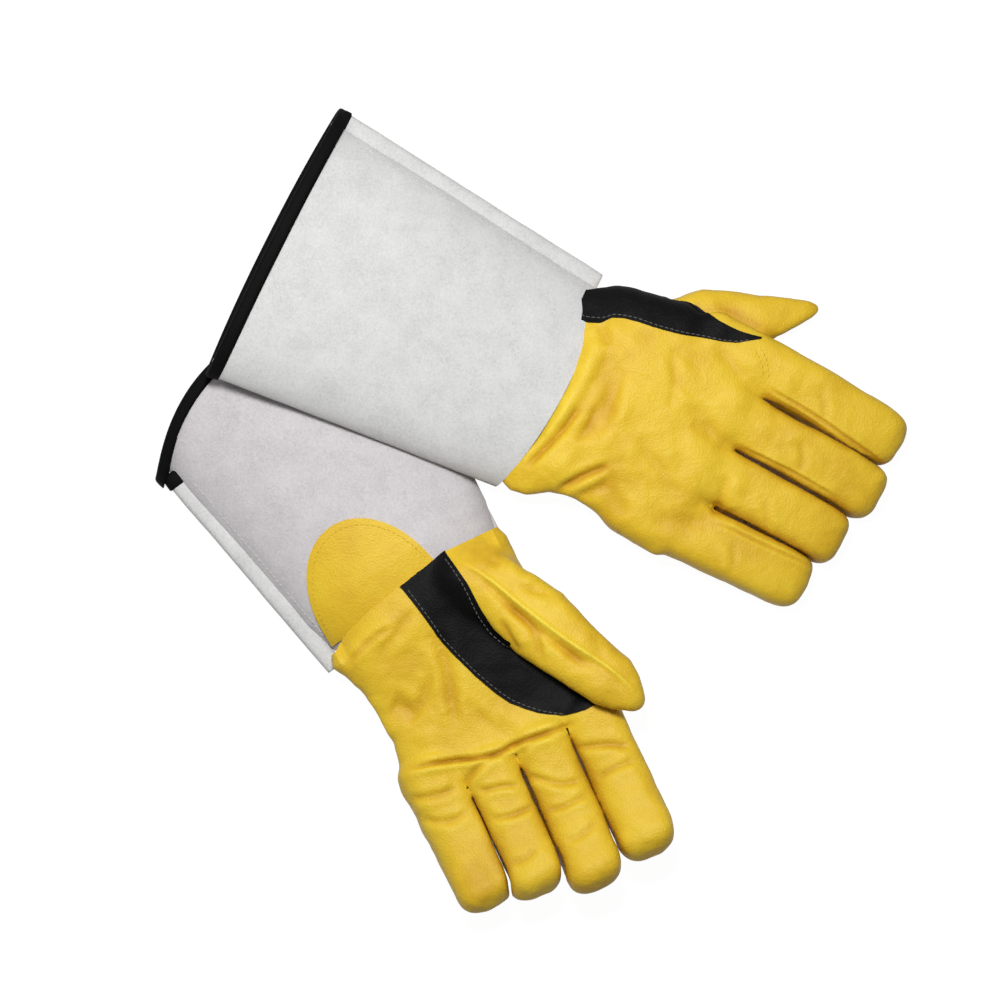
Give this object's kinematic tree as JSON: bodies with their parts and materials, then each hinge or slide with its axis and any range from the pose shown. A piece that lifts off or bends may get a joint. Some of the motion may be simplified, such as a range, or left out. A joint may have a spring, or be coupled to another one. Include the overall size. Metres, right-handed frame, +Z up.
{
  "type": "welding gloves",
  "caption": "Pair of long-cuffed leather welding gloves, one lying across the other; the fingers, thumbs and wrists bend.",
  "frame": {"origin": "on the surface the pair lies on, under the middle of its box", "axes": "+Z up from that surface; +Y along the longest side of the box; the hands point towards +X and -Y"},
  "size_m": [0.4056, 0.4275, 0.059],
  "materials": {
    "split_leather": "fuzzy light grey split leather, suede nap",
    "grain_leather": "smooth yellow grain leather, soft sheen",
    "black_leather": "matt black leather",
    "binding_tape": "woven black tape",
    "thread": "pale grey sewing thread"
  },
  "bodies": {
    "left_cuff": {"left_cuff_back_panel": "split_leather", "left_cuff_hem_binding": "binding_tape", "left_cuff_little_side_welt": "split_leather", "left_cuff_palm_panel": "split_leather", "left_cuff_thumb_side_welt": "split_leather", "left_pulse_patch": "grain_leather"},
    "left_hand": {"left_hand_back_panel": "grain_leather", "left_hand_palm_panel": "grain_leather", "left_thumb_crotch_patch": "black_leather", "left_wrist_seam_welt": "grain_leather"},
    "left_index": {"left_index_back": "grain_leather", "left_index_front": "grain_leather", "left_index_side_strips": "grain_leather"},
    "left_middle": {"left_middle_back": "grain_leather", "left_middle_front": "grain_leather", "left_middle_side_strips": "grain_leather"},
    "left_ring": {"left_ring_back": "grain_leather", "left_ring_front": "grain_leather", "left_ring_side_strips": "grain_leather"},
    "left_little": {"left_little_back": "grain_leather", "left_little_front": "grain_leather", "left_little_side_strips": "grain_leather"},
    "left_thumb": {"left_thumb_back": "grain_leather", "left_thumb_front": "grain_leather", "left_thumb_side_strips": "grain_leather"},
    "right_cuff": {"right_cuff_back_panel": "split_leather", "right_cuff_hem_binding": "binding_tape", "right_cuff_little_side_welt": "split_leather", "right_cuff_palm_panel": "split_leather", "right_cuff_thumb_side_welt": "split_leather", "right_pulse_patch": "grain_leather"},
    "right_hand": {"right_hand_back_panel": "grain_leather", "right_hand_palm_panel": "grain_leather", "right_thumb_crotch_patch": "black_leather", "right_wrist_seam_welt": "grain_leather"},
    "right_index": {"right_index_back": "grain_leather", "right_index_front": "grain_leather", "right_index_side_strips": "grain_leather"},
    "right_middle": {"right_middle_back": "grain_leather", "right_middle_front": "grain_leather", "right_middle_side_strips": "grain_leather"},
    "right_ring": {"right_ring_back": "grain_leather", "right_ring_front": "grain_leather", "right_ring_side_strips": "grain_leather"},
    "right_little": {"right_little_back": "grain_leather", "right_little_front": "grain_leather", "right_little_side_strips": "grain_leather"},
    "right_thumb": {"right_thumb_back": "grain_leather", "right_thumb_front": "grain_leather", "right_thumb_side_strips": "grain_leather"}
  },
  "joints": [
    {"name": "left_wrist", "type": "hinge", "parent": "left_cuff", "child": "left_hand", "pos_m": [-0.06056, -0.04465, 0.013], "axis": [-0.8607, -0.509, 0], "range_deg": [-25, 30]},
    {"name": "left_index_knuckle", "type": "hinge", "parent": "left_hand", "child": "left_index", "pos_m": [0.03164, -0.10825, 0.02296], "axis": [-0.9092, -0.4163, 0], "range_deg": [-10, 70]},
    {"name": "left_middle_knuckle", "type": "hinge", "parent": "left_hand", "child": "left_middle", "pos_m": [0.00515, -0.12392, 0.02296], "axis": [-0.9232, -0.3843, 0], "range_deg": [-10, 70]},
    {"name": "left_ring_knuckle", "type": "hinge", "parent": "left_hand", "child": "left_ring", "pos_m": [-0.01919, -0.13832, 0.02296], "axis": [-0.9298, -0.3681, 0], "range_deg": [-10, 70]},
    {"name": "left_little_knuckle", "type": "hinge", "parent": "left_hand", "child": "left_little", "pos_m": [-0.04611, -0.15439, 0.02297], "axis": [-0.9164, -0.4003, 0], "range_deg": [-10, 70]},
    {"name": "left_thumb_root", "type": "hinge", "parent": "left_hand", "child": "left_thumb", "pos_m": [0.003, -0.03655, 0.03009], "axis": [0, 0, 1], "range_deg": [0, 35]},
    {"name": "right_glove_lift", "type": "slide", "parent": "left_cuff", "child": "right_cuff", "axis": [0, 0, 1], "range_m": [0, 0.25]},
    {"name": "right_wrist", "type": "hinge", "parent": "right_cuff", "child": "right_hand", "pos_m": [0.0135, 0.0693, 0.02114], "axis": [0.4675, 0.8829, -0.0436], "range_deg": [-20, 30]},
    {"name": "right_index_knuckle", "type": "hinge", "parent": "right_hand", "child": "right_index", "pos_m": [0.13006, 0.07344, 0.00843], "axis": [0.4675, 0.8829, -0.0436], "range_deg": [-10, 70]},
    {"name": "right_middle_knuckle", "type": "hinge", "parent": "right_hand", "child": "right_middle", "pos_m": [0.11542, 0.04592, 0.00979], "axis": [0.4675, 0.8829, -0.0436], "range_deg": [-10, 70]},
    {"name": "right_ring_knuckle", "type": "hinge", "parent": "right_hand", "child": "right_ring", "pos_m": [0.10082, 0.0185, 0.01115], "axis": [0.4675, 0.8829, -0.0436], "range_deg": [-10, 70]},
    {"name": "right_little_knuckle", "type": "hinge", "parent": "right_hand", "child": "right_little", "pos_m": [0.08509, -0.01105, 0.01261], "axis": [0.4207, 0.9062, -0.0415], "range_deg": [-10, 70]},
    {"name": "right_thumb_root", "type": "hinge", "parent": "right_hand", "child": "right_thumb", "pos_m": [0.06237, 0.11464, 0.01272], "axis": [0.0543, 0.0205, 0.9983], "range_deg": [0, 35]}
  ]
}
